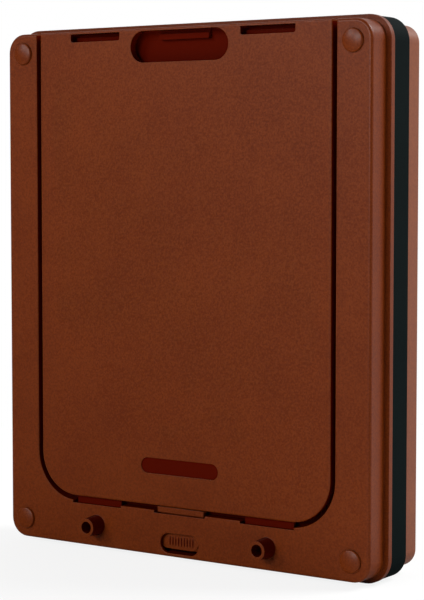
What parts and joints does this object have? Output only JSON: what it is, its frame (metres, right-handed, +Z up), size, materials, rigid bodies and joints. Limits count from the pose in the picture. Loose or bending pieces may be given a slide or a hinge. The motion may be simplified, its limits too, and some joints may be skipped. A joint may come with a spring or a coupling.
{
  "type": "dog flap",
  "caption": "Brown moulded dog flap for a door, with a lift-off closing panel held by hooks and a press latch, a black spacer frame and a hinged flap in the outside frame.",
  "frame": {"origin": "middle of the back face of the room-side flange, the plane that bears on the door", "axes": "+X to the right seen from the room, +Y through the door to the outside, +Z up"},
  "size_m": [0.294, 0.0735, 0.352],
  "materials": {
    "brown_abs": "moulded, fine grain",
    "black_abs": "moulded, smooth",
    "pile": "woven backing with cut pile",
    "white_nylon": "moulded",
    "zinc_steel": "zinc plated",
    "insert_brass": "turned",
    "ferrite": "ground"
  },
  "bodies": {
    "frame": {"inner_frame": "brown_abs", "spacer_frame": "black_abs", "outer_frame": "brown_abs", "sill_magnet": "ferrite", "hinge_bush_left": "white_nylon", "hinge_bush_right": "white_nylon", "screw_cap_top_left": "brown_abs", "screw_cap_top_right": "brown_abs", "screw_cap_bottom_left": "brown_abs", "screw_cap_bottom_right": "brown_abs", "fixing_screw_top_left": "zinc_steel", "fixing_screw_top_right": "zinc_steel", "fixing_screw_bottom_left": "zinc_steel", "fixing_screw_bottom_right": "zinc_steel", "threaded_insert_top_left": "insert_brass", "threaded_insert_top_right": "insert_brass", "threaded_insert_bottom_left": "insert_brass", "threaded_insert_bottom_right": "insert_brass"},
    "panel": {"closing_panel": "brown_abs"},
    "latch": {"press_latch": "brown_abs"},
    "flap": {"flap": "brown_abs", "flap_magnet": "ferrite", "hinge_pin_left": "zinc_steel", "hinge_pin_right": "zinc_steel", "pile_left": "pile", "pile_right": "pile", "pile_bottom": "pile"}
  },
  "joints": [
    {"name": "panel_lift", "type": "slide", "parent": "frame", "child": "panel", "axis": [0, 0, 1], "range_m": [0, 0.345]},
    {"name": "latch_press", "type": "hinge", "parent": "panel", "child": "latch", "pos_m": [0, -0.0176, -0.1297], "axis": [1, 0, 0], "range_deg": [0, 5], "stiffness_Nm_per_rad": 2, "springref_deg": -1.72},
    {"name": "flap_swing", "type": "hinge", "parent": "frame", "child": "flap", "pos_m": [0, 0.02975, 0.1295], "axis": [1, 0, 0], "range_deg": [-7, 80]}
  ]
}
